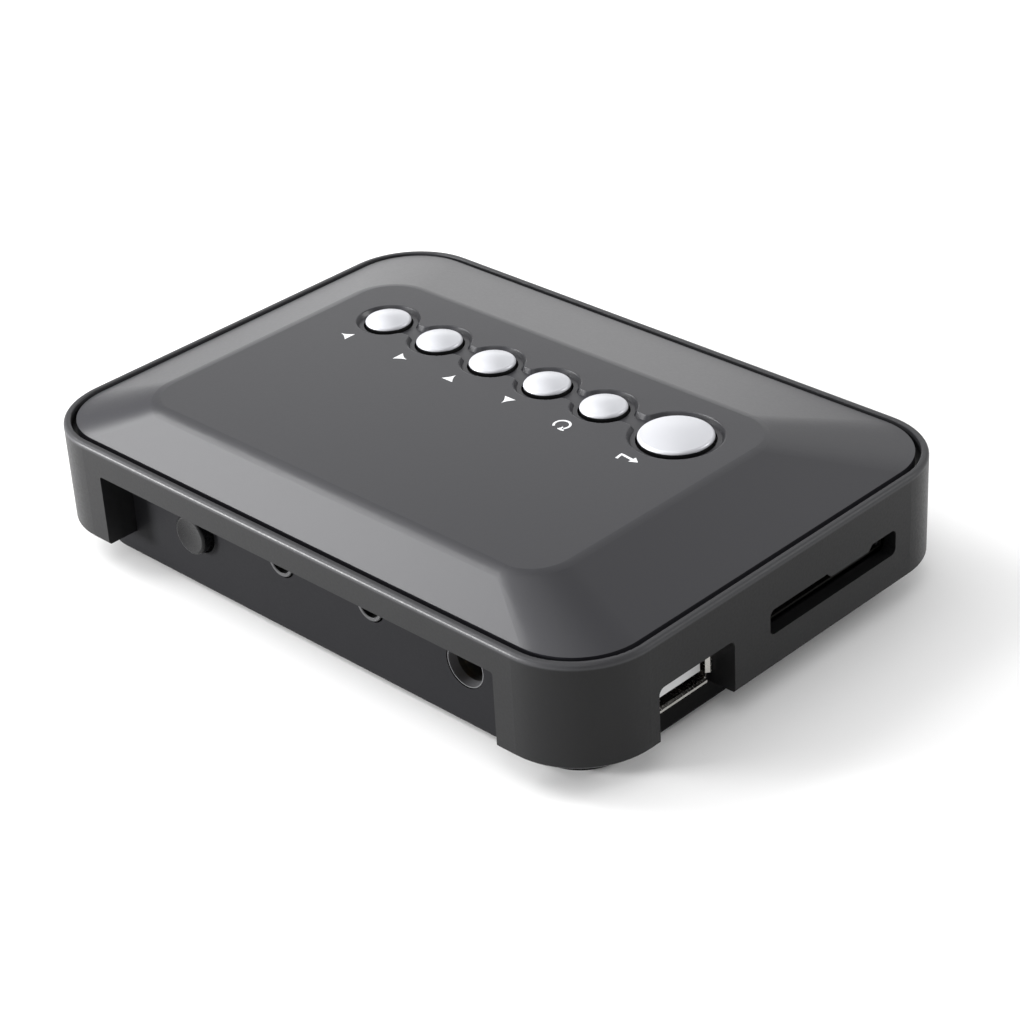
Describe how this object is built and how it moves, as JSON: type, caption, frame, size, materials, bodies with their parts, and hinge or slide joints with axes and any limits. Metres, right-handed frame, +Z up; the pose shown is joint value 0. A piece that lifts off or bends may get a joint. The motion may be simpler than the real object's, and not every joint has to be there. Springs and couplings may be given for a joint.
{
  "type": "media player",
  "caption": "Pocket media player: beaded case ring with a sunk connector bay, soft-edged domed cover, chained key wells with silver keys, card slot and USB socket at one end.",
  "frame": {"origin": "centre of the resting plane, under the feet", "axes": "+Z up; +X along the long side; the user sits on the -Y side, the connector bay faces +Y, the USB socket and the card slot face -X"},
  "size_m": [0.108, 0.077, 0.0257],
  "materials": {
    "case_plastic": "fine textured",
    "tray_plastic": "smooth moulded",
    "cover_plastic": "satin",
    "board_laminate": "solder mask",
    "screw_steel": "zinc plated",
    "button_plastic": "satin",
    "switch_stem": "moulded",
    "switch_housing": "moulded",
    "jack_plastic": "moulded",
    "jack_nose": "moulded",
    "inlet_collar": "moulded",
    "contact_metal": "gold flashed",
    "plated_sheet": "nickel plated",
    "usb_insulator": "moulded",
    "socket_plastic": "moulded",
    "window_plastic": "polished, lets infrared through",
    "receiver_plastic": "polished epoxy",
    "lamp_plastic": "tinted epoxy",
    "chip_resin": "moulded epoxy",
    "sink_aluminium": "extruded",
    "plated_can": "drawn can",
    "ferrite": "sintered",
    "foot_rubber": "moulded",
    "key_plastic": "silver lacquered"
  },
  "bodies": {
    "housing": {"case_ring": "case_plastic", "base_tray": "tray_plastic", "cover": "cover_plastic", "main_board": "board_laminate", "key_board": "board_laminate", "case_screws": "screw_steel", "board_screws": "screw_steel", "hanger_screws": "screw_steel", "power_switch": "switch_housing", "video_jack": "jack_plastic", "audio_jack": "jack_plastic", "power_inlet": "jack_plastic", "video_jack_nose": "jack_nose", "audio_jack_nose": "jack_nose", "inlet_nose": "inlet_collar", "inlet_pin": "contact_metal", "usb_shell": "plated_sheet", "usb_block": "usb_insulator", "usb_contacts": "contact_metal", "card_frame": "socket_plastic", "card_cover": "plated_sheet", "card_contacts": "contact_metal", "front_window": "window_plastic", "infrared_receiver": "receiver_plastic", "status_lamp": "lamp_plastic", "processor": "chip_resin", "heat_sink": "sink_aluminium", "memory_rear": "chip_resin", "memory_front": "chip_resin", "flash_chip": "chip_resin", "crystal": "plated_can", "choke": "ferrite", "capacitors": "plated_can", "pin_strip": "socket_plastic", "strip_pins": "contact_metal", "foot_1": "foot_rubber", "foot_2": "foot_rubber", "foot_3": "foot_rubber", "foot_4": "foot_rubber", "switch_1": "switch_housing", "switch_2": "switch_housing", "switch_3": "switch_housing", "switch_4": "switch_housing", "switch_5": "switch_housing", "switch_6": "switch_housing"},
    "key_1_body": {"key_1": "key_plastic", "plunger_1": "switch_stem"},
    "key_2_body": {"key_2": "key_plastic", "plunger_2": "switch_stem"},
    "key_3_body": {"key_3": "key_plastic", "plunger_3": "switch_stem"},
    "key_4_body": {"key_4": "key_plastic", "plunger_4": "switch_stem"},
    "key_5_body": {"key_5": "key_plastic", "plunger_5": "switch_stem"},
    "key_6_body": {"key_6": "key_plastic", "plunger_6": "switch_stem"},
    "power_button_body": {"power_button": "button_plastic", "power_plunger": "switch_stem"}
  },
  "joints": [
    {"name": "key_1_press", "type": "slide", "parent": "housing", "child": "key_1_body", "axis": [0, 0, -1], "range_m": [0, 0.0006], "stiffness_N_per_m": 1500, "springref_m": -0.0002},
    {"name": "key_2_press", "type": "slide", "parent": "housing", "child": "key_2_body", "axis": [0, 0, -1], "range_m": [0, 0.0006], "stiffness_N_per_m": 1500, "springref_m": -0.0002},
    {"name": "key_3_press", "type": "slide", "parent": "housing", "child": "key_3_body", "axis": [0, 0, -1], "range_m": [0, 0.0006], "stiffness_N_per_m": 1500, "springref_m": -0.0002},
    {"name": "key_4_press", "type": "slide", "parent": "housing", "child": "key_4_body", "axis": [0, 0, -1], "range_m": [0, 0.0006], "stiffness_N_per_m": 1500, "springref_m": -0.0002},
    {"name": "key_5_press", "type": "slide", "parent": "housing", "child": "key_5_body", "axis": [0, 0, -1], "range_m": [0, 0.0006], "stiffness_N_per_m": 1500, "springref_m": -0.0002},
    {"name": "key_6_press", "type": "slide", "parent": "housing", "child": "key_6_body", "axis": [0, 0, -1], "range_m": [0, 0.0006], "stiffness_N_per_m": 1500, "springref_m": -0.0002},
    {"name": "power_press", "type": "slide", "parent": "housing", "child": "power_button_body", "axis": [0, -1, 0], "range_m": [0, 0.0012], "stiffness_N_per_m": 1200, "springref_m": -0.0004}
  ]
}
